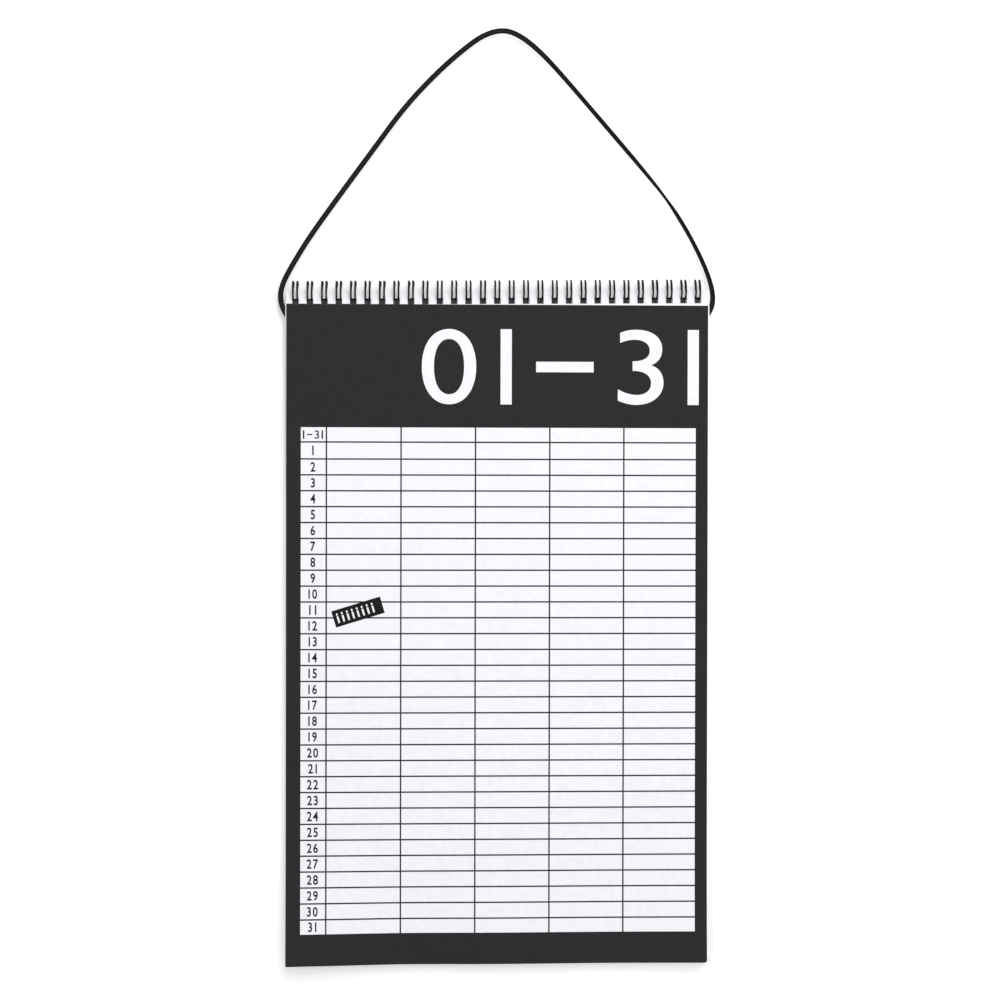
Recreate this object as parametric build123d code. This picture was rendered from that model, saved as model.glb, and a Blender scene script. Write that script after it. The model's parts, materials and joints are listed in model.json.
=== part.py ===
from build123d import *
import os
from math import asin, atan, cos, degrees, hypot, radians, sin, sqrt, tan

# A monthly wall calendar. Punched sheets and a stiff board hang on a twin-loop wire, and a flat
# cord knotted through the board hangs the whole pad. X runs to the right, Y into the wall and Z up.
# The origin is the hang point: under the top of the cord's loop, in the middle of its thickness.

# Sheets
page_width = 250.0
page_height = 396.0
page_thickness = 0.18
pages_behind = 11
front_sheet_inset = 1.0
sheet_gap = 0.05

# The front sheet's lower end lifts a little towards the viewer
curl_length = 70.0
curl_radius = 800.0

# Board behind the sheets
board_thickness = 1.0
cord_hole_radius = 2.0
cord_hole_inset = 8.5
cord_hole_drop = 20.4

# Twin-loop wire. Its many legs are drawn light: a section of four flats, on rings of short runs.
wire_flat = 0.9
ring_radius = 5.3
ring_runs = 18
loop_pitch = 25.4 / 3
leg_spacing = 2.5
base_bend = 1.0
end_margin = 6.4
base_clear = 0.25
seam_gap = 0.3

# Punched holes
hole_height = 3.75
hole_margin = 4.0
hole_side_clear = 0.1
hole_top_clear = 0.12

# Cord
cord_width = 3.0
cord_thickness = 1.0
cord_clear = 0.1
knot_radius = 3.4
knot_thickness = 3.2
knot_chamfer = 1.2
knot_neck = 1.3
knot_seat = 0.05
tail_length = 11.0
left_tail_lean = 8.0
right_tail_lean = -14.0

# Label stuck on the front sheet
label_length = 30.0
label_height = 10.0
label_thickness = 0.1
label_slant = 16.5
label_from_side = 40.9
label_from_top = 188.3

# How the pad hangs: its middle lies a little left of the hang point
pad_x = -2.3
ring_drop = 152.2
ring_lead = 0.3

# The cord's route as the pad hangs, from the left hole over the top to the right hole, in X and Z.
# It is drawn out to the two holes, wherever the sizes above put them. Each of its arcs starts and
# ends at this share of the shorter run beside it.
arc_share = 0.45
cord_route = [
    (-118.8, -172.5),
    (-124.5, -168.3),
    (-128.8, -162.2),
    (-130.3, -154.5),
    (-128.4, -146.5),
    (-122.6, -136.0),
    (-112.5, -120.0),
    (-95.3, -96.0),
    (-75.5, -69.5),
    (-56.3, -44.2),
    (-37.5, -24.0),
    (-20.5, -8.5),
    (-9.0, 0.0),
    (2.5, 2.4),
    (13.0, -1.8),
    (25.5, -12.3),
    (39.5, -27.8),
    (59.8, -51.4),
    (83.5, -79.8),
    (98.4, -98.0),
    (110.0, -115.5),
    (118.5, -132.5),
    (123.8, -145.5),
    (125.8, -155.5),
    (124.4, -163.2),
    (120.0, -169.2),
    (114.2, -172.5),
]

# Places that follow from the sizes: the layers from the viewer to the wall, then the rings
board_front = cord_thickness / 2 + cord_clear
board_back = board_front + board_thickness
block_back = -cord_thickness / 2 - cord_clear
block_front = block_back - pages_behind * page_thickness
sheet_back = block_front - sheet_gap
sheet_front = sheet_back - page_thickness
ring_y = (sheet_front + board_back) / 2 - ring_lead
ring_z = -ring_drop
base_reach = board_back + wire_flat / sqrt(2) + base_clear - ring_y
seam_angle = degrees(asin(base_reach / hypot(ring_radius, base_bend)))
hole_width = leg_spacing + wire_flat + 2 * hole_side_clear
loop_count = int((page_width - 2 * end_margin) // loop_pitch) + 1
loop_places = [pad_x + (i - (loop_count - 1) / 2) * loop_pitch for i in range(loop_count)]


def edge_above_wire(far_face):
    """Height of the top edge of a layer that hangs on the rings, with its outer face at far_face."""
    wire_inside = ring_radius - wire_flat / 2
    wire_top = ring_z - sqrt(wire_inside**2 - (far_face - ring_y) ** 2)
    return wire_top + hole_top_clear + hole_margin


page_top = edge_above_wire(sheet_front)
board_top = edge_above_wire(board_back)
cord_hole_z = board_top - cord_hole_drop
cord_hole_x = page_width / 2 - cord_hole_inset


def punched(layer, top):
    """The layer with the row of holes for the wire cut along its top edge."""
    middle = top - hole_margin - hole_height / 2
    punch = Box(hole_width, 4 * ring_radius, hole_height)
    return layer - [Pos(x, 0, middle) * punch for x in loop_places]


def flat_layer(front, back, top):
    """A flat sheet or board of the pad's full size, hanging from its top edge."""
    box = Box(page_width, back - front, page_height, align=(Align.CENTER, Align.MIN, Align.MAX))
    return Pos(pad_x, front, top) * box


def make_front_sheet():
    """The sheet that faces the viewer: flat, then a slow forward curve at its lower end."""
    middle = (sheet_front + sheet_back) / 2
    curl_start = page_top - page_height + curl_length
    curl_angle = degrees(curl_length / curl_radius)
    profile = Line((middle, page_top), (middle, curl_start))
    profile += JernArc((middle, curl_start), (0, -1), curl_radius, -curl_angle)
    width = page_width - 2 * front_sheet_inset
    plane = Plane.YZ.offset(pad_x - width / 2)
    sheet = extrude(plane * trace(profile, page_thickness), width)
    return punched(sheet, page_top)


def make_board():
    """The stiff board, punched like the sheets, with a round hole for each end of the cord."""
    board = punched(flat_layer(board_front, board_back, board_top), board_top)
    drill = Rot(X=90) * Cylinder(cord_hole_radius, 4 * board_back)
    return board - [Pos(pad_x + side * cord_hole_x, 0, cord_hole_z) * drill for side in (-1, 1)]


def on_ring(x, along, angle):
    """A point beside the ring, which lies in YZ about the origin.

    Angles run from the ring's bottom to the back, +Y, over the top and down the front. The point
    is the given way along the tangent at that angle.
    """
    turn = radians(angle)
    y = ring_radius * sin(turn) + along * cos(turn)
    z = -ring_radius * cos(turn) + along * sin(turn)
    return Vector(x, y, z)


def make_half_loop():
    """The right leg of one loop, from the middle of its tip to half the link to the next loop.

    The base of the loop lies just behind the board. The ring rises from it, comes over the top and
    down the front, and goes back through the hole, where its tip meets the base. Both bends, at the
    tip and at the base, are right angles with the corner cut off at 45 degrees.
    """
    leg_x = leg_spacing / 2
    base_angle = seam_angle + degrees(atan(base_bend / ring_radius))
    tip_reach = degrees(atan(leg_x / ring_radius) + seam_gap / ring_radius)
    tip_angle = 360 + seam_angle - tip_reach
    step = (tip_angle - base_angle) / ring_runs
    half_run = ring_radius * tan(radians(step / 2))
    corner_cut = tan(radians(45 / 2))

    points = [
        on_ring(0, leg_x, tip_angle),
        on_ring(leg_x * corner_cut, leg_x, tip_angle),
        on_ring(leg_x, leg_x * corner_cut, tip_angle),
    ]
    points += [on_ring(leg_x, -half_run, tip_angle - i * step) for i in range(ring_runs)]
    points += [
        on_ring(leg_x, -base_bend * corner_cut, base_angle),
        on_ring(leg_x + base_bend * (1 - corner_cut), -base_bend, base_angle),
        on_ring(loop_pitch / 2, -base_bend, base_angle),
    ]
    outward = on_ring(0, 0, tip_angle).normalized()
    section = Plane(origin=points[0], x_dir=outward, z_dir=(1, 0, 0)) * Rectangle(wire_flat, wire_flat)
    return sweep(section, path=Polyline(*points), transition=Transition.RIGHT)


def make_wire_binding():
    """One wire bent into a comb of hairpins and closed into rings, with its seam at the board's back."""
    right_leg = make_half_loop()
    loop = right_leg + mirror(right_leg, Plane.YZ)
    return Part() + [Pos(x, ring_y, ring_z) * loop for x in loop_places]


def route_points():
    """The cord's route, drawn out so that its two ends lie over the board's holes."""
    left, right = cord_route[0], cord_route[-1]
    span_share = 2 * cord_hole_x / (right[0] - left[0])
    drop_share = cord_hole_z / left[1]
    middle = (left[0] + right[0]) / 2
    return [(pad_x + (x - middle) * span_share, z * drop_share) for x, z in cord_route]


def route_radii(points):
    """An arc for each inner point, as large as its two runs allow."""
    radii = []
    for before, point, after in zip(points, points[1:], points[2:]):
        arriving = Vector(*point) - Vector(*before)
        leaving = Vector(*after) - Vector(*point)
        turn = radians(arriving.get_angle(leaving))
        radii.append(arc_share * min(arriving.length, leaving.length) / tan(turn / 2))
    return radii


def make_cord():
    """The flat cord between the sheets and the board, rounded at its ends over the holes."""
    points = route_points()
    radii = route_radii(points)
    route = FilletPolyline(*points, radius=radii)
    round_end = Circle(cord_width / 2)
    flat = trace(route, cord_width) + [Pos(*end) * round_end for end in (points[0], points[-1])]
    cord = extrude(Plane.XZ.offset(-cord_thickness / 2) * flat, cord_thickness)
    section_by_length = cord_width * cord_thickness * route.length
    print("cord length", round(route.length, 1), "smallest radius", round(min(radii), 1))
    print("cord radii", [round(radius, 1) for radius in radii])
    print("cord volume", round(cord.volume, 1), "section by length", round(section_by_length, 1))
    return cord


def make_knot(side, lean):
    """The knot behind the board, with its neck through the hole and a short tail hanging down."""
    lump = Rot(X=90) * Cylinder(knot_radius, knot_thickness)
    lump = chamfer(lump.edges().filter_by(GeomType.CIRCLE), knot_chamfer)
    seat = board_back + knot_seat
    neck_length = seat + knot_thickness / 2 - cord_thickness / 2
    neck = Rot(X=90) * Cylinder(knot_neck, neck_length)
    hanging = (Align.CENTER, Align.CENTER, Align.MAX)
    tail = Rot(Y=lean) * Box(cord_width, cord_thickness, tail_length, align=hanging)
    knot = Pos(0, seat + knot_thickness / 2, 0) * (lump + tail)
    knot += Pos(0, cord_thickness / 2 + neck_length / 2, 0) * neck
    return Pos(pad_x + side * cord_hole_x, 0, cord_hole_z) * knot


def make_label():
    """The paper label, stuck on the front sheet at a slant."""
    label = Rot(Y=-label_slant) * Box(label_length, label_thickness, label_height)
    x = pad_x - page_width / 2 + label_from_side + front_sheet_inset
    return Pos(x, sheet_front - label_thickness / 2, page_top - label_from_top) * label


nodes = {
    "front_sheet": make_front_sheet(),
    "page_block": punched(flat_layer(block_front, block_back, page_top), page_top),
    "back_board": make_board(),
    "wire_binding": make_wire_binding(),
    "hanging_cord": make_cord(),
    "cord_knot_left": make_knot(-1, left_tail_lean),
    "cord_knot_right": make_knot(1, right_tail_lean),
    "sticker": make_label(),
}

os.makedirs("parts", exist_ok=True)
for name, solid in nodes.items():
    export_step(solid, f"parts/{name}.step")
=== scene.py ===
import json
import random
from math import asin, atan, ceil, cos, degrees, hypot, pi, radians, sin, sqrt, tan

import bmesh
import bpy
from mathutils import Matrix, Vector


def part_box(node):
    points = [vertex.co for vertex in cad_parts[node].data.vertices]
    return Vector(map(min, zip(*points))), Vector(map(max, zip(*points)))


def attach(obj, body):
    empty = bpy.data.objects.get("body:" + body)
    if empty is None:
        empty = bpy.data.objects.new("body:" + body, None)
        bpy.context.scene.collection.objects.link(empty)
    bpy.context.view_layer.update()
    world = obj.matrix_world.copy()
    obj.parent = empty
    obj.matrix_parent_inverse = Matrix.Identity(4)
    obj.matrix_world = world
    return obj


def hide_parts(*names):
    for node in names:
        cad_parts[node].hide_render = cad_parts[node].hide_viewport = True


# A monthly wall calendar hanging on a wall: printed sheets and a board on a black twin-loop wire, and
# a flat woven cord. X runs to the right, Y into the wall and Z up, in metres.

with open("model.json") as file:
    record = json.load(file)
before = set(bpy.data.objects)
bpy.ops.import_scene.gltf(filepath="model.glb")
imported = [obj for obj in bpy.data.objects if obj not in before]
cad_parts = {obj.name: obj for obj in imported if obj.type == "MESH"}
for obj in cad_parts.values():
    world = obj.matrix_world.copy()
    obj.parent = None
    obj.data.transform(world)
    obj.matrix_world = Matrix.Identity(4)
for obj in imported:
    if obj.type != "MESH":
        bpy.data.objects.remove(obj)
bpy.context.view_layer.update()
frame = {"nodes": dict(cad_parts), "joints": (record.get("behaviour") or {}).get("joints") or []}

MM = 0.001

# Camera, in front of the calendar and a little to its left
CAMERA_AIM = Vector((-1.3 * MM, 0, -275.5 * MM))
CAMERA_DISTANCE = 1.6
CAMERA_YAW = radians(2.936)
CAMERA_PITCH = radians(-0.592)
CAMERA_ROLL = radians(-0.387)
VIEW_WIDTH = 589.8 * MM
SENSOR_MM = 36.0

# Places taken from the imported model, and the front of the front sheet's flat part
block_low, block_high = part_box("page_block")
board_low, board_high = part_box("back_board")
AXIS = Vector(frame["joints"][0]["pos_m"])
PAGE_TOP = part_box("front_sheet")[1].z
SHEET_FRONT = -2.81 * MM
BLOCK_FRONT = block_low.y
BLOCK_BACK = block_high.y
BOARD_FRONT = board_low.y
BOARD_BACK = board_high.y

# Wire loops
LOOP_PITCH = 25.4 / 3 * MM
LOOP_COUNT = 29
LEG_SPACING = 2.5 * MM
RING_RADIUS = 5.3 * MM
RING_STEPS = 36
RING_RISE = 0.45 * MM
WIRE_RADIUS = 0.55 * MM
WIRE_SIDES = 10
CAD_WIRE_FLAT = 0.9 * MM
BASE_BEND = 1.0 * MM
BEND_STEPS = 5
SEAM_GAP = 0.3 * MM
BASE_CLEAR = 0.25 * MM
LOOP_PLACES = [AXIS.x + (i - (LOOP_COUNT - 1) / 2) * LOOP_PITCH for i in range(LOOP_COUNT)]

# How the loops are bent aside: at the first loop, what it gains up to the last, and the draws' spread
WIRE_SEED = 7
END_LEAN = -0.05 * MM
LEAN_GAIN = 0.12 * MM
LEAN_SPREAD = (-0.04 * MM, 0.05 * MM)
SPLAY = -0.2 * MM
SPLAY_GAIN = 1.3 * MM
KINK = 2.3 * MM
KINK_GAIN = -2.9 * MM
KINK_SPREAD = (-0.7 * MM, 0.4 * MM)

# Sheets and their punched holes
PAPER = 0.18 * MM
SHEET_WIDTH = 248.55 * MM
SHEET_HEIGHT = 395.15 * MM
HOLE_MARGIN = 4.0 * MM
HOLE_HEIGHT = 3.6 * MM
HOLE_BOTTOM = HOLE_MARGIN + HOLE_HEIGHT
HOLE_WIDTH = 4.0 * MM
HOLE_PLACES = [x + 0.15 * MM for x in LOOP_PLACES]
FIELD_TOP = 6.9 * MM
FIELD_START = FIELD_TOP + 3.0 * MM
SHEET_SLANT = radians(0.5)
SHEET_LEFT = -126.05 * MM
PAD_LEFT = -126.75 * MM
PAD_RIGHT = 123.4 * MM
CORNER_RADIUS = 1.5 * MM
PAGES_BEHIND = 11
PAGE_SEED = 3
WIDTH_SPREAD = (-0.2 * MM, 0.1 * MM)
HEIGHT_SPREAD = (-0.3 * MM, 0.3 * MM)

# Two rows of a printed sheet's grid, which follow the holes' bottoms and the field's slanting top
UPPER_ROW = 5.0 * MM
LOWER_ROW = 6.0 * MM
ROW_GAP = 0.01 * MM

# The widest steps of the sheets' grids
PRINT_STEP_ACROSS = 12.0 * MM
PRINT_STEP_DOWN = 5.0 * MM
PAGE_STEP_DOWN = 60.0 * MM
LABEL_STEP_ACROSS = 1.5 * MM
LABEL_STEP_DOWN = 1.25 * MM

# The front sheet's lower end stands forward: a slow curl, and a lift that changes across the sheet
CURL_START = 326.0 * MM
CURL_RADIUS = 1800.0 * MM
LIFT_START = 277.0 * MM
LIFTS = [
    (0.0, 6.0 * MM),
    (30.0 * MM, 3.2 * MM),
    (70.0 * MM, -0.6 * MM),
    (125.0 * MM, 0.8 * MM),
    (190.0 * MM, -0.2 * MM),
    (249.0 * MM, 1.6 * MM),
]

# The table of days and its lettering, from the sheet's left side and top edge
TABLE_LEFT = 8.6 * MM
TABLE_TOP = 79.3 * MM
COLUMNS = [14.97 * MM] + [43.79 * MM] * 4 + [42.59 * MM]
DAYS = 31
ROWS = [8.63 * MM, 9.97 * MM] + [9.33 * MM] * (DAYS - 7) + [9.28 * MM] * 5 + [8.5 * MM]
RULE = 0.88 * MM
DAY_NUMBER_HEIGHT = 5.7 * MM
DAY_NUMBER_WEIGHT = 0.022
DAY_NUMBER_SQUEEZE = 0.77
DAY_NUMBER_SHIFT = -0.4 * MM
DIGIT_SPACING = 1.25
SPACING_BY_ONES = 1.1
HEADING_HEIGHT = 44.3 * MM
HEADING_LEFT = 79.45 * MM
HEADING_RIGHT = 243.05 * MM
HEADING_TOP = 21.3 * MM
HEADING = [("0", 32.0), ("1", 6.6), ("-", 34.0), ("3", 27.0), ("1", 6.6)]
HEADING_STEPS = 16
HEADER_RANGE = [("1", 0.9), ("-", 3.2), ("3", 2.6), ("1", 0.9)]
HEADER_HEIGHT = 4.9 * MM
HEADER_HALF_WIDTH = 5.9 * MM
HEADER_WEIGHT = 0.01
HEADER_STEPS = 5
DASH_SHARE = 0.14
INK_PROUD = 0.03 * MM
INK_SUNK = 0.02 * MM
INK_MERGE = 0.0005 * MM

# Label
LABEL_LENGTH = 29.8 * MM
LABEL_HEIGHT = 9.9 * MM
LABEL_SLANT = radians(16.5)
LABEL_CENTRE = (-85.4 * MM, -340.7 * MM)
LABEL_THICKNESS = 0.1 * MM
LABEL_LIFT = 1.5 * MM
LABEL_STUCK = 0.6

# Its candles. Heights are from the label's middle line.
CANDLES = 8
CANDLE_START = 2.6 * MM
CANDLE_STEP = 3.05 * MM
CANDLE_HALF_WIDTH = 0.55 * MM
CANDLE_FOOT = -2.9 * MM
CANDLE_TOP = 1.1 * MM
FLAME_MIDDLE = 2.15 * MM
FLAME_HALF_HEIGHT = 0.6 * MM
FLAME_TIP = 0.3 * MM
FLAME_SIDES = 12

# Cord
CORD_WIDTH = 3.12 * MM
CORD_STEP = 0.2 * MM
ROUTE_STEPS = 40
WEAVE_PITCH = 1.06 * MM
WEAVE_HEIGHT = 0.36 * MM
RIB_HEIGHT = 0.08 * MM
RIB_SLANT = 1.7 * MM
RIB_LEVEL = 0.1
RIDGE_MIDDLE = 1.06 * MM
RIDGE_HEIGHT = 0.54 * MM
RIDGE_STITCH = 0.015 * MM
MIDDLE_BAND = 1.6 * MM

# The points of its section over one side, in millimetres, and how far before a point its face lies
HALF_SECTION = [1.56, 1.5, 1.35, 1.14, 0.92, 0.74, 0.5, 0.25]
CORD_SECTION = HALF_SECTION + [0] + [-u for u in HALF_SECTION[:0:-1]]
FACE_BEHIND = 0.12

# The points of its route, in X and Z
CORD_ROUTE = [
    (-118.8 * MM, -172.5 * MM),
    (-124.1 * MM, -168.3 * MM),
    (-128.4 * MM, -162.2 * MM),
    (-129.85 * MM, -154.5 * MM),
    (-127.8 * MM, -146.5 * MM),
    (-122.05 * MM, -136.0 * MM),
    (-112.1 * MM, -120.0 * MM),
    (-94.6 * MM, -96.0 * MM),
    (-74.8 * MM, -69.5 * MM),
    (-56.1 * MM, -44.2 * MM),
    (-37.0 * MM, -24.1 * MM),
    (-19.9 * MM, -9.2 * MM),
    (-8.4 * MM, -1.25 * MM),
    (2.9 * MM, 1.55 * MM),
    (13.0 * MM, -2.25 * MM),
    (25.4 * MM, -12.5 * MM),
    (39.4 * MM, -28.0 * MM),
    (59.35 * MM, -51.4 * MM),
    (83.55 * MM, -79.8 * MM),
    (98.3 * MM, -98.0 * MM),
    (109.6 * MM, -115.5 * MM),
    (118.4 * MM, -132.5 * MM),
    (123.7 * MM, -145.5 * MM),
    (125.9 * MM, -155.5 * MM),
    (124.9 * MM, -163.2 * MM),
    (120.2 * MM, -169.2 * MM),
    (114.2 * MM, -172.5 * MM),
]

# How far the flat cord is turned about its own line, in degrees, at shares of its length
CORD_TURNS = [
    (0.0, 0.0),
    (0.06, 0.0),
    (0.14, 0.0),
    (0.28, 8.0),
    (0.42, 10.0),
    (0.5, 5.0),
    (0.545, 14.0),
    (0.575, 34.0),
    (0.64, 47.0),
    (0.72, 48.0),
    (0.78, 66.0),
    (0.812, 79.0),
    (0.84, 57.0),
    (0.88, 55.0),
    (0.93, 44.0),
    (0.955, 32.0),
    (0.972, 2.0),
    (1.0, 0.0),
]

# Knots, about the board's hole. A half section is its width and its depth.
KNOT_X = 116.5 * MM
KNOT_BELOW_TOP = 3.4 * MM
KNOT_BEHIND = 1.65 * MM
KNOT_SIZE = 0.82 * MM
KNOT_DEPTH = 0.95
KNOT_START = radians(198)
KNOT_SWEEP = radians(318)
KNOT_STEPS = 40
KNOT_SIDES = 14
KNOT_RIBS = 0.05
KNOT_HALF_SECTION = (0.8 * MM, 0.72 * MM)
NECK = [-2.4 * MM, -1.2 * MM]
TAIL = [4.6 * MM, 7.5 * MM, 11.0 * MM]
TAIL_OUT = 0.2 * MM
TAIL_BEND = 0.6
TAIL_HALF_SECTION = (1.4 * MM, 0.45 * MM)
TAIL_FROM = 0.86
TAIL_SPREAD = 0.07
LEFT_TAIL_LEAN = radians(8)
RIGHT_TAIL_LEAN = radians(-14)

# Colours from their darker to their lighter shade, in 8-bit screen levels
SHEET_SHADES = ((240, 240, 245), (245, 245, 250))
# The pages' paper is lighter than the front sheet's: painted light that lifts the shade on the pages'
# edges beside the front sheet
PAGE_SHADES_WITH_PAINTED_LIGHT = ((249, 249, 250), (253, 253, 254))
FIELD_SHADES = ((38, 37, 38), (41, 40, 41))
NUMBER_SHADES = ((26, 26, 28), (32, 32, 34))
LABEL_SHADES = ((10, 10, 11), (16, 16, 17))
CANDLE_SHADES = ((236, 236, 238), (246, 246, 248))
WEAVE_SHADES = ((5, 5, 6), (23, 23, 24))
RIB_SHADES = ((34, 34, 36), (60, 60, 62))
WIRE_SHADES = ((5, 5, 6), (14, 14, 15))
CARD_SHADES = ((122, 118, 110), (150, 146, 138))
LINER_SHADE = (251, 251, 252)
LINER_THICKNESS = 0.12 * MM
FLOOR_SHADES = ((238, 238, 239), (244, 244, 245))

# Stage and light
WALL_Y = 5.25 * MM
WALL_HALF_WIDTH = 1.6
WALL_TOP = 1.1
WALL_GLOW = 0.24
WALL_LEVEL = 0.97
# A plane of painted shade just before the wall, behind the pad: darker than the wall, it stands for the
# shade there
SHADE_INSET = 4.0 * MM
SHADE_BEFORE = 0.1 * MM
SHADE_LEVEL = 0.32
FLOOR_Z = -0.62
FLOOR_REACH = 3.0
WORLD_LIGHT = 0.4
LAMP_AIM = Vector((AXIS.x, 0, -0.3))
LAMP_TOWARDS = Vector((0.22, -1.0, 0.76))
LAMP_DISTANCE = 2.2
LAMP_SIZE = (1.3, 2.3)
LAMP_LEVEL = 0.61

# The least length to divide by, and how near to a sheet's last grid line counts as on it
TINY = 1e-9
NEARLY = 1e-6


def full_turn(count):
    """Angles evenly spaced round a circle."""
    return [2 * pi * k / count for k in range(count)]


def linear(levels):
    """A colour written in 8-bit screen levels, as the linear RGBA that the shader takes."""
    channels = [level / 255 for level in levels]
    return [c / 12.92 if c <= 0.04045 else ((c + 0.055) / 1.055) ** 2.4 for c in channels] + [1.0]


def smooth_value(stations, place):
    """A value between stations, on a smooth curve through them."""
    last = len(stations) - 1
    k = max(i for i in range(last) if stations[i][0] <= place or i == 0)
    (x0, y0), (x1, y1) = stations[k], stations[k + 1]
    x_before, y_before = stations[max(k - 1, 0)]
    x_after, y_after = stations[min(k + 2, last)]
    slope0 = (y1 - y_before) / (x1 - x_before)
    slope1 = (y_after - y0) / (x_after - x0)
    t = (place - x0) / (x1 - x0)
    span = x1 - x0
    start = (2 * t**3 - 3 * t**2 + 1) * y0 + (t**3 - 2 * t**2 + t) * span * slope0
    return start + (3 * t**2 - 2 * t**3) * y1 + (t**3 - t**2) * span * slope1


# Building meshes
def add_mesh(name, vertices, faces, materials, indices=None, smooth=False):
    """A new mesh object in the row frame."""
    mesh = bpy.data.meshes.new(name)
    mesh.from_pydata([tuple(v) for v in vertices], [], faces)
    for material in materials:
        mesh.materials.append(material)
    if indices:
        mesh.polygons.foreach_set("material_index", indices)
    mesh.polygons.foreach_set("use_smooth", [smooth] * len(faces))
    mesh.validate()
    mesh.update()
    piece = bpy.data.objects.new(name, mesh)
    bpy.context.scene.collection.objects.link(piece)
    return piece


def finish_piece(piece, body, slot, *nodes):
    """Ties a finished piece to its body and hides the nodes that it stands for. slot is not used."""
    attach(piece, body)
    if nodes:
        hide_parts(*nodes)
    return piece


def transported_frames(points, first_side):
    """For each point of a path its tangent, side and normal, turned as little as it can be."""
    frames = []
    side = first_side
    for i, point in enumerate(points):
        before = points[max(i - 1, 0)]
        after = points[min(i + 1, len(points) - 1)]
        tangent = (after - before).normalized()
        side = (side - tangent * side.dot(tangent)).normalized()
        frames.append((tangent, side, tangent.cross(side)))
    return frames


def sweep(points, frames, section):
    """Vertices and faces of a closed tube. section(i) is its outline at point i, as (side, normal)."""
    vertices = []
    faces = []
    for i, point in enumerate(points):
        tangent, side, normal = frames[i]
        outline = section(i)
        vertices += [point + side * u + normal * v for u, v in outline]
    count = len(outline)
    for i in range(len(points) - 1):
        for k in range(count):
            a = i * count + k
            b = i * count + (k + 1) % count
            faces.append((a, b, b + count, a + count))
    last = (len(points) - 1) * count
    faces.append(tuple(reversed(range(count))))
    faces.append(tuple(range(last, last + count)))
    return vertices, faces


# Materials
def new_material(name, roughness, specular):
    """A material and its shader, with the values that are the same all over."""
    material = bpy.data.materials.new(name)
    material.use_nodes = True
    shader = material.node_tree.nodes["Principled BSDF"]
    shader.inputs["Roughness"].default_value = roughness
    shader.inputs["Specular IOR Level"].default_value = specular
    return material, shader


def add_noise(material, scale, detail=4.0, stretch=(1, 1, 1)):
    """A noise texture in the object's own space. scale is in features a metre."""
    nodes, links = material.node_tree.nodes, material.node_tree.links
    place = nodes.new("ShaderNodeTexCoord")
    mapping = nodes.new("ShaderNodeMapping")
    mapping.inputs["Scale"].default_value = stretch
    noise = nodes.new("ShaderNodeTexNoise")
    noise.inputs["Scale"].default_value = scale
    noise.inputs["Detail"].default_value = detail
    links.new(place.outputs["Object"], mapping.inputs["Vector"])
    links.new(mapping.outputs["Vector"], noise.inputs["Vector"])
    return noise


def add_math(tree, operation):
    """A math node of one kind."""
    node = tree.nodes.new("ShaderNodeMath")
    node.operation = operation
    return node


def colour_from(material, shader, source, shades, low=0.35, high=0.65):
    """Colours the surface between two shades by a texture's value."""
    nodes, links = material.node_tree.nodes, material.node_tree.links
    dark, light = [linear(shade) for shade in shades]
    ramp = nodes.new("ShaderNodeValToRGB")
    ramp.color_ramp.elements[0].position = low
    ramp.color_ramp.elements[0].color = dark
    ramp.color_ramp.elements[1].position = high
    ramp.color_ramp.elements[1].color = light
    links.new(source.outputs[0], ramp.inputs["Fac"])
    links.new(ramp.outputs["Color"], shader.inputs["Base Color"])
    return ramp


def bump_from(material, shader, source, distance):
    """Raises the surface by a texture's value, up to a distance."""
    nodes, links = material.node_tree.nodes, material.node_tree.links
    bump = nodes.new("ShaderNodeBump")
    bump.inputs["Strength"].default_value = 1.0
    bump.inputs["Distance"].default_value = distance
    links.new(source.outputs[0], bump.inputs["Height"])
    links.new(bump.outputs["Normal"], shader.inputs["Normal"])


def paper_material(name, shades, roughness=0.85, specular=0.3):
    """Paper or printed paper: a faint cloudiness in its colour and a fine tooth."""
    material, shader = new_material(name, roughness, specular)
    cloud = add_noise(material, scale=260.0, detail=6.0)
    colour_from(material, shader, cloud, shades)
    grain = add_noise(material, scale=2600.0, detail=3.0, stretch=(1, 1, 0.45))
    bump_from(material, shader, grain, distance=0.012 * MM)
    return material


def board_material():
    """Grey board with a white liner on its front."""
    material, shader = new_material("board_card", roughness=0.9, specular=0.25)
    nodes, links = material.node_tree.nodes, material.node_tree.links
    fibres = add_noise(material, scale=700.0, detail=8.0, stretch=(1, 1, 3))
    grey = colour_from(material, shader, fibres, CARD_SHADES)
    place = nodes.new("ShaderNodeTexCoord")
    split = nodes.new("ShaderNodeSeparateXYZ")
    behind_liner = add_math(material.node_tree, "GREATER_THAN")
    behind_liner.inputs[1].default_value = BOARD_FRONT + LINER_THICKNESS
    mix = nodes.new("ShaderNodeMix")
    mix.data_type = "RGBA"
    mix.inputs["A"].default_value = linear(LINER_SHADE)
    links.new(place.outputs["Object"], split.inputs[0])
    links.new(split.outputs["Y"], behind_liner.inputs[0])
    links.new(behind_liner.outputs[0], mix.inputs["Factor"])
    links.new(grey.outputs["Color"], mix.inputs["B"])
    links.new(mix.outputs["Result"], shader.inputs["Base Color"])
    bump_from(material, shader, fibres, distance=0.03 * MM)
    return material


def wire_material():
    """Black nylon coat on the wire, satin, with faint unevenness."""
    material, shader = new_material("wire_coating", roughness=0.5, specular=0.2)
    speck = add_noise(material, scale=900.0)
    colour_from(material, shader, speck, WIRE_SHADES)
    bump_from(material, shader, speck, distance=0.01 * MM)
    return material


def yarn_material(name, shades):
    """Black yarn: soft, with a fine twist in its threads."""
    material, shader = new_material(name, roughness=0.85, specular=0.12)
    yarn = add_noise(material, scale=3200.0, detail=5.0)
    colour_from(material, shader, yarn, shades, low=0.38, high=0.72)
    bump_from(material, shader, yarn, distance=0.05 * MM)
    return material


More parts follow.
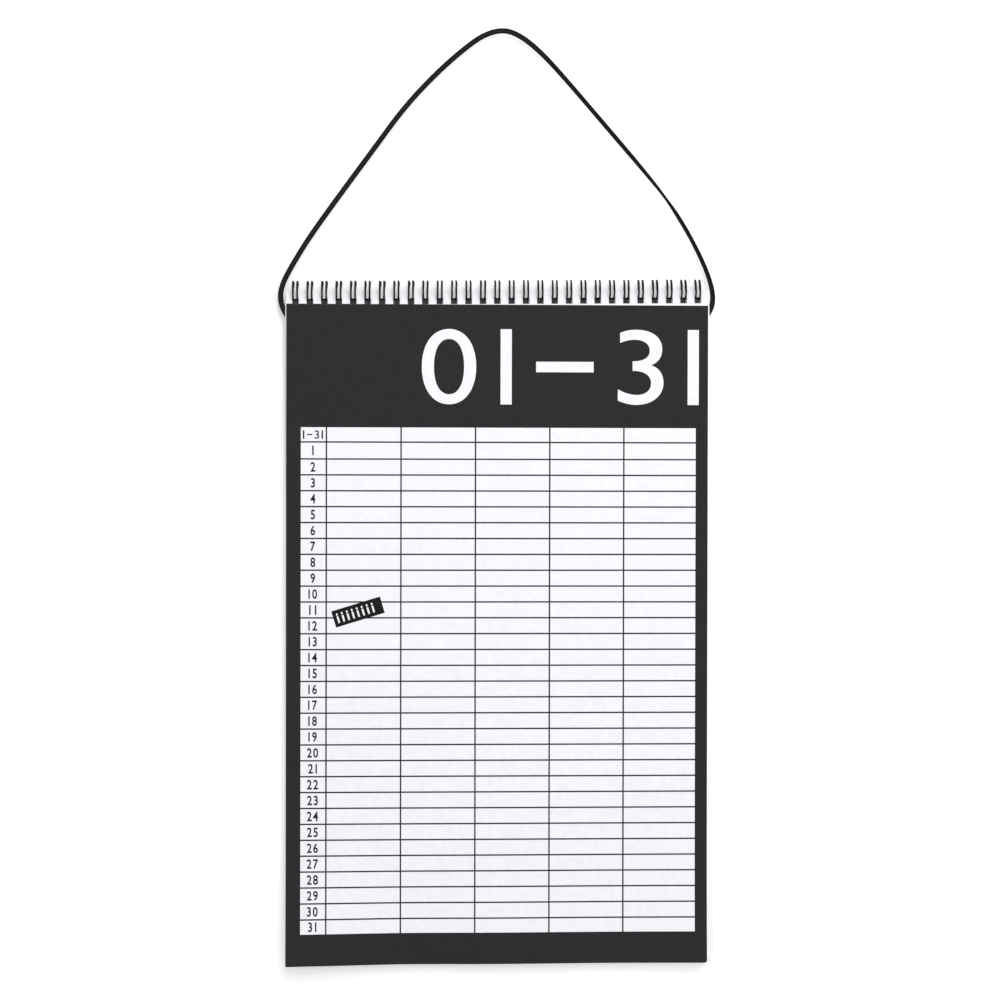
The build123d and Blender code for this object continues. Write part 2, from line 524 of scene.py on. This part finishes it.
# Cord
def route_line():
    """Points read from the route's NURBS spline."""
    data = bpy.data.curves.new("cord_route", "CURVE")
    data.dimensions = "3D"
    spline = data.splines.new("NURBS")
    spline.points.add(len(CORD_ROUTE) - 1)
    for point, (x, z) in zip(spline.points, CORD_ROUTE):
        point.co = (x, 0, z, 1)
    spline.order_u = 3
    spline.use_endpoint_u = True
    spline.resolution_u = ROUTE_STEPS
    curve = bpy.data.objects.new("cord_route", data)
    mesh = bpy.data.meshes.new_from_object(curve)
    points = [v.co.copy() for v in mesh.vertices]
    bpy.data.objects.remove(curve)
    bpy.data.curves.remove(data)
    bpy.data.meshes.remove(mesh)
    return points


def even_points(points, step):
    """The same line with its points evenly spaced, and its length."""
    places = [0.0]
    for a, b in zip(points, points[1:]):
        places.append(places[-1] + (b - a).length)
    count = round(places[-1] / step)
    even = []
    k = 0
    for i in range(count + 1):
        place = places[-1] * i / count
        while k < len(points) - 2 and places[k + 1] < place:
            k += 1
        share = (place - places[k]) / max(places[k + 1] - places[k], TINY)
        even.append(points[k].lerp(points[k + 1], min(share, 1)))
    return even, places[-1]


def weave_rib(across, along, side):
    """The slanting ribs of the weave, from -1 between them to 1 on top of them."""
    return cos(2 * pi * (along / WEAVE_PITCH + side * across / RIB_SLANT))


def half_thickness(across, along, side):
    """Half the flat cord's thickness: two edge ridges with slanting ribs of the weave between them."""
    ridge_half = CORD_WIDTH / 2 - RIDGE_MIDDLE
    offset = min(abs(abs(across) - RIDGE_MIDDLE) / ridge_half, 1)
    stitch = cos(2 * pi * along / WEAVE_PITCH)
    ridge = sqrt(1 - offset**2) * (RIDGE_HEIGHT + RIDGE_STITCH * stitch)
    if abs(across) > RIDGE_MIDDLE:
        return ridge
    return max(ridge, WEAVE_HEIGHT + RIB_HEIGHT * weave_rib(across, along, side))


def cord_outline(along):
    """The flat cord's section at a length along it."""
    outline = [(u * MM, half_thickness(u * MM, along, 1)) for u in CORD_SECTION]
    return outline + [(-u * MM, -half_thickness(-u * MM, along, -1)) for u in CORD_SECTION]


def strand_at(i, k):
    """Which strand a face of the cord belongs to: 1 on a rib between the two edges, else 0."""
    half = len(CORD_SECTION)
    side = 1 if k < half else -1
    across = side * (CORD_SECTION[k % half] - FACE_BEHIND) * MM
    if abs(across) > MIDDLE_BAND / 2:
        return 0
    return 1 if weave_rib(across, (i + 0.5) * CORD_STEP, side) > RIB_LEVEL else 0


def make_cord(materials):
    """The flat cord, which turns about its own line as it goes over the top and down."""
    points, length = even_points(route_line(), CORD_STEP)
    frames = []
    for i in range(len(points)):
        along = (points[min(i + 1, len(points) - 1)] - points[max(i - 1, 0)]).normalized()
        turn = radians(smooth_value(CORD_TURNS, i / (len(points) - 1)))
        flat = Vector((along.z, 0, -along.x))
        out = Vector((0, 1, 0))
        side = flat * cos(turn) + out * sin(turn)
        frames.append((along, side, along.cross(side)))
    vertices, faces = sweep(points, frames, lambda i: cord_outline(i * CORD_STEP))
    around = 2 * len(CORD_SECTION)
    strands = [strand_at(i // around, i % around) for i in range(len(faces) - 2)] + [0, 0]
    piece = add_mesh("cord", vertices, faces, materials, strands, smooth=True)
    finish_piece(piece, "pad", "cord_weave", "hanging_cord")
    return piece, points, length


# Knots
def knot_line(centre, lean):
    """The line of an overhand knot that comes out of the board's hole and ends in a tail."""
    points = [Vector((0, y, 0)) for y in NECK]
    for i in range(KNOT_STEPS + 1):
        t = KNOT_START + KNOT_SWEEP * i / KNOT_STEPS
        x = sin(t) + 2 * sin(2 * t)
        z = cos(t) - 2 * cos(2 * t)
        points.append(Vector((x, -KNOT_DEPTH * sin(3 * t), z)) * KNOT_SIZE)
    down = Vector((sin(lean), 0, -cos(lean)))
    tail = [down * place for place in TAIL]
    start = points[-1] + Vector((0, TAIL_OUT, 0))
    points += [start.lerp(tail[0], TAIL_BEND)] + tail
    return [centre + p for p in points]


def smooth_line(points, rounds=2):
    """The line with its corners cut, round after round."""
    for _ in range(rounds):
        cut = [points[0]]
        for a, b in zip(points, points[1:]):
            cut += [a.lerp(b, 0.25), a.lerp(b, 0.75)]
        points = cut + [points[-1]]
    return points


def make_knot(side, lean, material):
    """One knot behind the board. The cord is bunched in the knot and flat again in its tail."""
    name = "cord_knot_left" if side < 0 else "cord_knot_right"
    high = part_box(name)[1]
    centre = Vector((AXIS.x + side * KNOT_X, BOARD_BACK + KNOT_BEHIND, high.z - KNOT_BELOW_TOP))
    points = smooth_line(knot_line(centre, lean))
    frames = transported_frames(points, Vector((1, 0, 0)))

    def section(i):
        spread = min(max((i / len(points) - TAIL_FROM) / TAIL_SPREAD, 0), 1)
        halves = [a + spread * (b - a) for a, b in zip(KNOT_HALF_SECTION, TAIL_HALF_SECTION)]
        ribs = 1 + KNOT_RIBS * cos(2 * pi * i / 3)
        return [(halves[0] * ribs * cos(t), halves[1] * ribs * sin(t)) for t in full_turn(KNOT_SIDES)]

    vertices, faces = sweep(points, frames, section)
    piece = add_mesh(name.replace("cord_", ""), vertices, faces, [material], smooth=True)
    return finish_piece(piece, "pad", "cord_weave", name)


# Wire
def on_ring(x, along, angle):
    """A point beside the ring, about its middle.

    Angles run from the ring's bottom to the back, over the top and down the front.
    """
    turn = radians(angle)
    y = RING_RADIUS * sin(turn) + along * cos(turn)
    z = -RING_RADIUS * cos(turn) + along * sin(turn)
    return Vector((x, y, z))


def bent_loop(lean, splay, kink):
    """The line of one loop, from the middle of the link before it to the middle of the one after it.

    lean moves its top aside, splay its back and kink the part of its back just under the top.
    """
    leg_x = LEG_SPACING / 2
    base_reach = BOARD_BACK + CAD_WIRE_FLAT / sqrt(2) + BASE_CLEAR - AXIS.y
    seam_angle = degrees(asin(base_reach / hypot(RING_RADIUS, BASE_BEND)))
    base_angle = seam_angle + degrees(atan(BASE_BEND / RING_RADIUS))
    tip_angle = 360 + seam_angle - degrees(atan(leg_x / RING_RADIUS) + SEAM_GAP / RING_RADIUS)
    step = (tip_angle - base_angle) / RING_STEPS
    leg = [on_ring(leg_x, 0, base_angle + i * step) for i in range(RING_STEPS + 1)]
    quarter = [radians(90 * i / BEND_STEPS) for i in range(BEND_STEPS + 1)]
    tip = [on_ring(leg_x * cos(t), leg_x * sin(t), tip_angle) for t in quarter[1:]]
    bends = [(leg_x + BASE_BEND * (1 - sin(t)), -BASE_BEND * cos(t)) for t in quarter[:-1]]
    corner = [on_ring(x, along, base_angle) for x, along in bends]
    link = [on_ring(LOOP_PITCH / 2, -BASE_BEND, base_angle)]
    right = link + corner + leg + tip

    def leaning(point):
        rise = max((1 + point.z / RING_RADIUS) / 2, 0)
        behind = max(point.y, 0) / RING_RADIUS
        aside = lean * rise**1.5 + behind * (splay * min(2 * rise, 1) + kink * rise**6)
        return point + Vector((aside, 0, RING_RISE * rise**3))

    left = [Vector((-p.x, p.y, p.z)) for p in right]
    return [leaning(p) for p in left + right[-2::-1]]


def make_wire(material):
    """One wire bent into all the loops, each leaning a little its own way."""
    draw = random.Random(WIRE_SEED)
    line = []
    for i, x in enumerate(LOOP_PLACES):
        across = i / (LOOP_COUNT - 1)
        lean = LEAN_GAIN * across + draw.uniform(*LEAN_SPREAD)
        if i in (0, LOOP_COUNT - 1):
            lean = END_LEAN
        splay = SPLAY + SPLAY_GAIN * across
        kink = KINK + KINK_GAIN * across + draw.uniform(*KINK_SPREAD)
        loop = bent_loop(lean, splay, kink)
        middle = Vector((x, AXIS.y, AXIS.z))
        line += [middle + p for p in (loop if i == 0 else loop[1:])]
    frames = transported_frames(line, Vector((0, 0, 1)))
    outline = [(WIRE_RADIUS * cos(t), WIRE_RADIUS * sin(t)) for t in full_turn(WIRE_SIDES)]
    vertices, faces = sweep(line, frames, lambda i: outline)
    piece = add_mesh("wire_loops", vertices, faces, [material], smooth=True)
    return finish_piece(piece, "pad", "wire_coating", "wire_binding")


# Sheets
def turned_place(a, b, left, start):
    """Where a point of a skewed sheet lies. a runs from its left side, and b from its top edge."""
    if b <= start:
        return left + a, PAGE_TOP - b
    down = b - start
    x = left + a * cos(SHEET_SLANT) - down * sin(SHEET_SLANT)
    z = PAGE_TOP - start - a * sin(SHEET_SLANT) - down * cos(SHEET_SLANT)
    return x, z


def field_edge(a):
    """Depth of the printed field's top edge below the sheet's own."""
    return FIELD_TOP + a * tan(SHEET_SLANT)


def printed_place(a, b):
    """Where a point of a printed sheet lies. Two rows follow the holes' bottoms and the field's edge."""
    if b == UPPER_ROW:
        return SHEET_LEFT + a, PAGE_TOP - min(field_edge(a), HOLE_BOTTOM)
    if b == LOWER_ROW:
        return SHEET_LEFT + a, PAGE_TOP - max(field_edge(a), HOLE_BOTTOM) - ROW_GAP
    if b < FIELD_TOP:
        return SHEET_LEFT + a, PAGE_TOP - b
    return turned_place(a, b, SHEET_LEFT, FIELD_TOP)


def front_curl(a, b):
    """How far the front sheet stands forward."""
    curl = max(b - CURL_START, 0) ** 2 / (2 * CURL_RADIUS)
    share = max(b - LIFT_START, 0) / (SHEET_HEIGHT - LIFT_START)
    return curl + smooth_value(LIFTS, a) * share**2


def no_curl(a, b):
    """A sheet that lies flat."""
    return 0.0


def everywhere(a, b):
    """The whole sheet is solid."""
    return True


def nowhere(a, b):
    """The sheet has no print."""
    return False


def sheet_mesh(name, a_lines, b_lines, point_at, solid_at, printed_at, materials, thickness=PAPER):
    """A thin sheet on a grid of lines, with holes, walls all round and print as fields of its front."""
    rows, columns = len(b_lines), len(a_lines)
    vertices = [point_at(a, b) for b in b_lines for a in a_lines]
    vertices += [v + Vector((0, thickness, 0)) for v in vertices]
    behind = rows * columns
    middles_a = [(p + q) / 2 for p, q in zip(a_lines, a_lines[1:])]
    middles_b = [(p + q) / 2 for p, q in zip(b_lines, b_lines[1:])]
    solid = {(i, j) for j, b in enumerate(middles_b) for i, a in enumerate(middles_a) if solid_at(a, b)}
    faces = []
    indices = []
    for i, j in sorted(solid):
        top_left = j * columns + i
        top_right, low_left, low_right = top_left + 1, top_left + columns, top_left + columns + 1
        faces.append((top_left, low_left, low_right, top_right))
        indices.append(1 if printed_at(middles_a[i], middles_b[j]) else 0)
        walls = [tuple(behind + v for v in (top_left, top_right, low_right, low_left))]
        if (i - 1, j) not in solid:
            walls.append((top_left, top_left + behind, low_left + behind, low_left))
        if (i + 1, j) not in solid:
            walls.append((top_right, low_right, low_right + behind, top_right + behind))
        if (i, j - 1) not in solid:
            walls.append((top_left, top_right, top_right + behind, top_left + behind))
        if (i, j + 1) not in solid:
            walls.append((low_left, low_left + behind, low_right + behind, low_right))
        faces += walls
        indices += [0] * len(walls)
    return add_mesh(name, vertices, faces, materials, indices)


def table_rules():
    """The middles of the table's rules, across and down, and its right and bottom edges."""
    across = [TABLE_LEFT + sum(COLUMNS[:i]) for i in range(1, len(COLUMNS))]
    down = [TABLE_TOP + sum(ROWS[:i]) for i in range(1, len(ROWS))]
    return across, down, TABLE_LEFT + sum(COLUMNS), TABLE_TOP + sum(ROWS)


def inside_rule(value, rules):
    """Whether a place lies within one of the rules."""
    return any(abs(value - rule) < RULE / 2 for rule in rules)


def printed_here(a, b):
    """Whether the black ink covers a place: everywhere in the field but in the table's cells."""
    across, down, right, bottom = table_rules()
    if b < LOWER_ROW:
        return b > UPPER_ROW and field_edge(a) < HOLE_BOTTOM
    if not (TABLE_LEFT < a < right and TABLE_TOP < b < bottom):
        return True
    return inside_rule(a, across) or inside_rule(b, down)


def hole_spans(left):
    """The two sides of each punched hole, from the sheet's left side."""
    return [(x - left - HOLE_WIDTH / 2, x - left + HOLE_WIDTH / 2) for x in HOLE_PLACES]


def filled_lines(lines, largest):
    """The lines in order, with more between them where they are far apart."""
    lines = sorted(set(lines))
    filled = [lines[0]]
    for low, high in zip(lines, lines[1:]):
        parts = ceil((high - low) / largest)
        filled += [low + (high - low) * (k + 1) / parts for k in range(parts)]
    return filled


def printed_lines():
    """The grid lines of a printed sheet: its sides, holes and rules."""
    across, down, right, bottom = table_rules()
    a_lines = [0.0, SHEET_WIDTH, TABLE_LEFT, right, SHEET_WIDTH - CORNER_RADIUS]
    a_lines += [side for span in hole_spans(SHEET_LEFT) for side in span]
    a_lines += [rule + half for rule in across for half in (-RULE / 2, RULE / 2)]
    b_lines = [FIELD_START, TABLE_TOP, bottom, SHEET_HEIGHT, SHEET_HEIGHT - CORNER_RADIUS]
    b_lines += [rule + half for rule in down for half in (-RULE / 2, RULE / 2)]
    top_rows = [0.0, HOLE_MARGIN, UPPER_ROW, LOWER_ROW]
    return filled_lines(a_lines, PRINT_STEP_ACROSS), top_rows + filled_lines(b_lines, PRINT_STEP_DOWN)


def in_hole_column(a, left):
    """Whether a place across the sheet lies in line with a punched hole."""
    return any(low < a < high for low, high in hole_spans(left))


def printed_sheet(name, front, curl, materials):
    """A punched sheet with its ink as fields of its front."""

    def solid_at(a, b):
        lowest = LOWER_ROW if field_edge(a) < HOLE_BOTTOM else UPPER_ROW
        return not (HOLE_MARGIN < b < lowest and in_hole_column(a, SHEET_LEFT))

    def point_at(a, b):
        lift = curl(a, b)
        if a > SHEET_WIDTH - NEARLY and b > SHEET_HEIGHT - NEARLY:
            a -= CORNER_RADIUS * (1 - sqrt(0.5))
            b -= CORNER_RADIUS * (1 - sqrt(0.5))
        x, z = printed_place(a, b)
        return Vector((x, front - lift, z))

    a_lines, b_lines = printed_lines()
    return sheet_mesh(name, a_lines, b_lines, point_at, solid_at, printed_here, materials)


def plain_sheet(name, front, left, width, height, slanted, material):
    """A punched sheet with nothing on its front."""

    def solid_at(a, b):
        return not (HOLE_MARGIN < b < HOLE_BOTTOM and in_hole_column(a, left))

    def point_at(a, b):
        x, z = turned_place(a, b, left, HOLE_BOTTOM) if slanted else (left + a, PAGE_TOP - b)
        return Vector((x, front, z))

    a_lines = sorted([0.0, width] + [side for span in hole_spans(left) for side in span])
    b_lines = filled_lines([0.0, HOLE_MARGIN, HOLE_BOTTOM, height], PAGE_STEP_DOWN)
    return sheet_mesh(name, a_lines, b_lines, point_at, solid_at, nowhere, [material])


# Lettering, all of it plain numbers
def numeral_outline(text, height, width=None, squeeze=1.0, weight=0.0, steps=5, spacing=DIGIT_SPACING):
    """A flat filled outline of plain numbers, centred, as vertices and faces."""
    data = bpy.data.curves.new("numeral", "FONT")
    data.body = text
    data.space_character = spacing
    data.resolution_u = steps
    data.offset = weight
    holder = bpy.data.objects.new("numeral", data)
    mesh = bpy.data.meshes.new_from_object(holder)
    xs = [v.co.x for v in mesh.vertices]
    ys = [v.co.y for v in mesh.vertices]
    scale_y = height / (max(ys) - min(ys))
    scale_x = width / (max(xs) - min(xs)) if width else scale_y * squeeze
    middle = Vector(((max(xs) + min(xs)) / 2, (max(ys) + min(ys)) / 2))
    flat = [((v.co.x - middle.x) * scale_x, (v.co.y - middle.y) * scale_y) for v in mesh.vertices]
    faces = [tuple(p.vertices) for p in mesh.polygons]
    bpy.data.objects.remove(holder)
    bpy.data.curves.remove(data)
    bpy.data.meshes.remove(mesh)
    return flat, faces


def raised_print(name, shapes, place_at, material):
    """Thin closed solids of ink. Each shape is (flat vertices, faces, a, b) on the sheet."""
    solid = bmesh.new()
    for flat, faces, a, b in shapes:
        fronts = [solid.verts.new(place_at(a + u, b - v, INK_PROUD)) for u, v in flat]
        backs = [solid.verts.new(place_at(a + u, b - v, -INK_SUNK)) for u, v in flat]
        for face in faces:
            solid.faces.new([fronts[k] for k in face])
            solid.faces.new([backs[k] for k in reversed(face)])
        pairs = {front: back for front, back in zip(fronts, backs)}
        rims = [e for f in fronts for e in f.link_edges if len(e.link_faces) == 1]
        for edge in dict.fromkeys(rims):
            loop = edge.link_loops[0]
            start, end = loop.vert, loop.link_loop_next.vert
            solid.faces.new([end, start, pairs[start], pairs[end]])
    bmesh.ops.remove_doubles(solid, verts=solid.verts, dist=INK_MERGE)
    bmesh.ops.recalc_face_normals(solid, faces=solid.faces)
    mesh = bpy.data.meshes.new(name)
    solid.to_mesh(mesh)
    solid.free()
    mesh.materials.append(material)
    piece = bpy.data.objects.new(name, mesh)
    bpy.context.scene.collection.objects.link(piece)
    return piece


def spread_numbers(glyphs, height, left, right, middle, weight, steps):
    """Numbers with even gaps between two places.

    A glyph is its text and its width in millimetres, and a dash is a plain bar.
    """
    gap = (right - left - sum(width for text, width in glyphs) * MM) / (len(glyphs) - 1)
    bar = height * DASH_SHARE / 2
    shapes = []
    for text, width in glyphs:
        half = width * MM / 2
        if text == "-":
            flat, faces = [(-half, -bar), (half, -bar), (half, bar), (-half, bar)], [(0, 1, 2, 3)]
        else:
            flat, faces = numeral_outline(text, height, width=2 * half, weight=weight, steps=steps)
        shapes.append((flat, faces, left + half, middle))
        left += 2 * half + gap
    return shapes


def day_numbers():
    """The numbers of the days, and a small plain range in the header cell."""
    middle = TABLE_LEFT + COLUMNS[0] / 2 + DAY_NUMBER_SHIFT
    size = {"height": DAY_NUMBER_HEIGHT, "squeeze": DAY_NUMBER_SQUEEZE, "weight": DAY_NUMBER_WEIGHT}
    shapes = []
    for day in range(1, DAYS + 1):
        row = TABLE_TOP + sum(ROWS[:day]) + ROWS[day] / 2
        spacing = SPACING_BY_ONES if "1" in str(day) else DIGIT_SPACING
        flat, faces = numeral_outline(str(day), spacing=spacing, **size)
        shapes.append((flat, faces, middle, row))
    left, right = middle - HEADER_HALF_WIDTH, middle + HEADER_HALF_WIDTH
    row = TABLE_TOP + ROWS[0] / 2
    look = {"height": HEADER_HEIGHT, "weight": HEADER_WEIGHT, "steps": HEADER_STEPS}
    return shapes + spread_numbers(HEADER_RANGE, left=left, right=right, middle=row, **look)


def heading_numbers():
    """The large heading: the month's first and last day."""
    middle = HEADING_TOP + HEADING_HEIGHT / 2
    look = {"height": HEADING_HEIGHT, "weight": 0.0, "steps": HEADING_STEPS}
    return spread_numbers(HEADING, left=HEADING_LEFT, right=HEADING_RIGHT, middle=middle, **look)


def make_printed_sheet(name, front, curl, body, inks, nodes):
    """A sheet of one month, with its ink fields, heading and numbers."""
    white, black, black_print = inks
    sheet = printed_sheet(name, front, curl, [white, black])
    finish_piece(sheet, body, "printed_sheet", *nodes)

    def place_at(a, b, lift):
        x, z = printed_place(a, b)
        return Vector((x, front - curl(a, b) - lift, z))

    numbers = raised_print(name + "_days", day_numbers(), place_at, black_print)
    finish_piece(numbers, body, "printed_sheet")
    heading = raised_print(name + "_heading", heading_numbers(), place_at, white)
    finish_piece(heading, body, "printed_sheet")
    return sheet


def make_page_block(inks, plain):
    """The sheets behind the front one. The rearmost is plain and hangs straight."""
    draw = random.Random(PAGE_SEED)
    pitch = (BLOCK_BACK - BLOCK_FRONT) / PAGES_BEHIND
    make_printed_sheet("next_sheet", BLOCK_FRONT, no_curl, "pad", inks, ["page_block"])
    for k in range(1, PAGES_BEHIND):
        front = BLOCK_FRONT + k * pitch
        name = f"page_{k + 1:02d}"
        if k == PAGES_BEHIND - 1:
            height = block_high.z - block_low.z
            page = plain_sheet(name, front, PAD_LEFT, PAD_RIGHT - PAD_LEFT, height, False, plain)
        else:
            width = SHEET_WIDTH + draw.uniform(*WIDTH_SPREAD)
            height = SHEET_HEIGHT + draw.uniform(*HEIGHT_SPREAD)
            page = plain_sheet(name, front, SHEET_LEFT, width, height, True, plain)
        finish_piece(page, "pad", "page_paper")


# Label
def label_point(a, b, lift=0.0):
    """A place on the label, from its top left corner. Its top right corner is a little loose."""
    u = a - LABEL_LENGTH / 2
    v = LABEL_HEIGHT / 2 - b
    x = LABEL_CENTRE[0] + u * cos(LABEL_SLANT) - v * sin(LABEL_SLANT)
    z = LABEL_CENTRE[1] + u * sin(LABEL_SLANT) + v * cos(LABEL_SLANT)
    loose = max(u / LABEL_LENGTH + v / LABEL_HEIGHT - LABEL_STUCK, 0)
    return Vector((x, SHEET_FRONT - LABEL_THICKNESS - LABEL_LIFT * loose**2 - lift, z))


def candle_outline():
    """A candle with its flame, as the flat outlines of the two."""
    half = CANDLE_HALF_WIDTH
    body = [(-half, CANDLE_FOOT), (half, CANDLE_FOOT), (half, CANDLE_TOP), (-half, CANDLE_TOP)]
    flame = []
    for t in full_turn(FLAME_SIDES):
        height = FLAME_MIDDLE + FLAME_HALF_HEIGHT * cos(t) + FLAME_TIP * max(cos(t), 0) ** 3
        flame.append((half * sin(t), height))
    return body + flame[::-1], [(0, 1, 2, 3), tuple(range(4, 4 + FLAME_SIDES))]


def make_label(black, white):
    """The dark label with a row of small plain candles."""
    a_lines = filled_lines([0.0, LABEL_LENGTH], LABEL_STEP_ACROSS)
    b_lines = filled_lines([0.0, LABEL_HEIGHT], LABEL_STEP_DOWN)
    label = sheet_mesh("label", a_lines, b_lines, label_point, everywhere, nowhere, [black],
                       thickness=LABEL_THICKNESS)
    finish_piece(label, "leaf", "label_paper", "sticker")
    flat, faces = candle_outline()
    places = [CANDLE_START + k * CANDLE_STEP for k in range(CANDLES)]
    shapes = [(flat, faces, place, LABEL_HEIGHT / 2) for place in places]
    candles = raised_print("label_candles", shapes, label_point, white)
    return finish_piece(candles, "leaf", "label_paper")


# Stage, light and camera
def add_plane(name, corners, material):
    """A flat part of the stage."""
    piece = add_mesh(name, corners, [(0, 1, 2, 3)], [material])


def upright(left, right, bottom, top, y):
    """The corners of an upright rectangle that faces the viewer."""
    return [(left, y, bottom), (right, y, bottom), (right, y, top), (left, y, top)]


def seen_by_camera(tree):
    """A value of 1 for camera, glossy and transmission rays."""
    path = tree.nodes.new("ShaderNodeLightPath")
    first = add_math(tree, "MAXIMUM")
    second = add_math(tree, "MAXIMUM")
    tree.links.new(path.outputs["Is Camera Ray"], first.inputs[0])
    tree.links.new(path.outputs["Is Glossy Ray"], first.inputs[1])
    tree.links.new(first.outputs[0], second.inputs[0])
    tree.links.new(path.outputs["Is Transmission Ray"], second.inputs[1])
    return second


def wall_material(glow_level, level):
    """A plain wall, seen from its front alone. Light passes through it, so it never dims the back."""
    material = bpy.data.materials.new("wall")
    material.use_nodes = True
    tree = material.node_tree
    nodes, links = tree.nodes, tree.links
    nodes.clear()
    output = nodes.new("ShaderNodeOutputMaterial")
    diffuse = nodes.new("ShaderNodeBsdfDiffuse")
    diffuse.inputs["Color"].default_value = (level, level, level, 1)
    glow = nodes.new("ShaderNodeEmission")
    glow.inputs["Strength"].default_value = glow_level
    surface = nodes.new("ShaderNodeAddShader")
    clear = nodes.new("ShaderNodeBsdfTransparent")
    side = nodes.new("ShaderNodeNewGeometry")
    front = add_math(tree, "SUBTRACT")
    front.inputs[0].default_value = 1.0
    shown = add_math(tree, "MULTIPLY")
    mix = nodes.new("ShaderNodeMixShader")
    links.new(side.outputs["Backfacing"], front.inputs[1])
    links.new(front.outputs[0], shown.inputs[0])
    links.new(seen_by_camera(tree).outputs[0], shown.inputs[1])
    links.new(diffuse.outputs[0], surface.inputs[0])
    links.new(glow.outputs[0], surface.inputs[1])
    links.new(shown.outputs[0], mix.inputs[0])
    links.new(clear.outputs[0], mix.inputs[1])
    links.new(surface.outputs[0], mix.inputs[2])
    links.new(mix.outputs[0], output.inputs["Surface"])
    return material


def floor_material():
    """A pale plain floor."""
    material, shader = new_material("floor", roughness=0.9, specular=0.2)
    mottle = add_noise(material, scale=6.0, detail=3.0)
    colour_from(material, shader, mottle, FLOOR_SHADES)
    return material


def set_world(strength):
    """Even white light from all round, and a white background."""
    world = bpy.data.worlds.new("world")
    bpy.context.scene.world = world
    world.use_nodes = True
    tree = world.node_tree
    tree.nodes.clear()
    output = tree.nodes.new("ShaderNodeOutputWorld")
    light = tree.nodes.new("ShaderNodeBackground")
    light.inputs["Strength"].default_value = strength
    light.inputs["Color"].default_value = (1, 1, 1, 1)
    shown = tree.nodes.new("ShaderNodeBackground")
    shown.inputs["Strength"].default_value = 1.0
    shown.inputs["Color"].default_value = (1, 1, 1, 1)
    mix = tree.nodes.new("ShaderNodeMixShader")
    tree.links.new(seen_by_camera(tree).outputs[0], mix.inputs[0])
    tree.links.new(light.outputs[0], mix.inputs[1])
    tree.links.new(shown.outputs[0], mix.inputs[2])
    tree.links.new(mix.outputs[0], output.inputs["Surface"])


def add_lamp():
    """A soft lamp aimed at the calendar. Its level is what it gives a white surface that faces Y."""
    direction = LAMP_TOWARDS.normalized()
    data = bpy.data.lights.new("key", "AREA")
    data.shape = "RECTANGLE"
    data.size, data.size_y = LAMP_SIZE
    data.energy = LAMP_LEVEL * pi * pi * LAMP_DISTANCE**2 / abs(direction.y)
    lamp = bpy.data.objects.new("key", data)
    lamp.location = LAMP_AIM + direction * LAMP_DISTANCE
    lamp.rotation_mode = "QUATERNION"
    lamp.rotation_quaternion = direction.to_track_quat("Z", "Y")
    bpy.context.scene.collection.objects.link(lamp)


def add_camera():
    """The camera at the photograph's angle."""
    yaw, pitch, roll = CAMERA_YAW, CAMERA_PITCH, CAMERA_ROLL
    forward = Vector((sin(yaw) * cos(pitch), cos(yaw) * cos(pitch), sin(pitch)))
    level = Vector((cos(yaw), -sin(yaw), 0))
    above = level.cross(forward)
    right = level * cos(roll) + above * sin(roll)
    up = above * cos(roll) - level * sin(roll)
    data = bpy.data.cameras.new("camera")
    data.sensor_width = SENSOR_MM
    data.lens = SENSOR_MM * CAMERA_DISTANCE / VIEW_WIDTH
    camera = bpy.data.objects.new("camera", data)
    turn = Matrix((right, up, -forward)).transposed().to_4x4()
    camera.matrix_world = Matrix.Translation(CAMERA_AIM - forward * CAMERA_DISTANCE) @ turn
    bpy.context.scene.collection.objects.link(camera)
    bpy.context.scene.camera = camera


def make_stage():
    """The wall, the floor and the light. Behind the pad a darker plane of painted shade stands just
    before the wall, where no light reaches.
    """
    wall = upright(-WALL_HALF_WIDTH, WALL_HALF_WIDTH, FLOOR_Z, WALL_TOP, WALL_Y)
    add_plane("wall", wall, wall_material(WALL_GLOW, WALL_LEVEL))
    quarters = ((-1, -1), (1, -1), (1, 1), (-1, 1))
    floor = [(x * FLOOR_REACH, y * FLOOR_REACH, FLOOR_Z) for x, y in quarters]
    add_plane("floor", floor, floor_material())
    # Painted shade: a darker plane just before the wall behind the pad, seen through the holes
    left, right = block_low.x + SHADE_INSET, block_high.x - SHADE_INSET
    bottom, top = block_low.z + SHADE_INSET, block_high.z - SHADE_INSET
    shade = upright(left, right, bottom, top, WALL_Y - SHADE_BEFORE)
    add_plane("painted_shade_behind_pad", shade, wall_material(0.0, SHADE_LEVEL))
    set_world(WORLD_LIGHT)
    add_lamp()


def make_hanging_cord():
    """The cord with its two knots."""
    weave = yarn_material("cord_weave", WEAVE_SHADES)
    rib = yarn_material("cord_rib", RIB_SHADES)
    cord, line, length = make_cord([weave, rib])
    knots = [make_knot(-1, LEFT_TAIL_LEAN, weave), make_knot(1, RIGHT_TAIL_LEAN, weave)]


def dress_board():
    """Gives the board of the CAD its card."""
    board = frame["nodes"]["back_board"]
    board.data.materials.clear()
    board.data.materials.append(board_material())


def make_sheets():
    """The pages and the front sheet, printed with the same inks."""
    white = paper_material("sheet_paper", SHEET_SHADES)
    black = paper_material("ink_field", FIELD_SHADES, roughness=0.75, specular=0.14)
    numbers = paper_material("ink_numbers", NUMBER_SHADES, roughness=0.75, specular=0.14)
    inks = (white, black, numbers)
    # Lighter than the front sheet's paper: painted light on the pages' shaded edges
    plain = paper_material("page_paper", PAGE_SHADES_WITH_PAINTED_LIGHT)
    make_page_block(inks, plain)
    make_printed_sheet("month_sheet", SHEET_FRONT, front_curl, "leaf", inks, ["front_sheet"])


def main():
    """The whole scene."""
    bpy.context.scene.view_settings.view_transform = "Standard"
    add_camera()
    make_stage()
    make_hanging_cord()
    make_wire(wire_material())
    dress_board()
    make_sheets()
    label_black = paper_material("label_black", LABEL_SHADES, roughness=0.6, specular=0.14)
    label_white = paper_material("label_white", CANDLE_SHADES, roughness=0.6)
    make_label(label_black, label_white)


main()
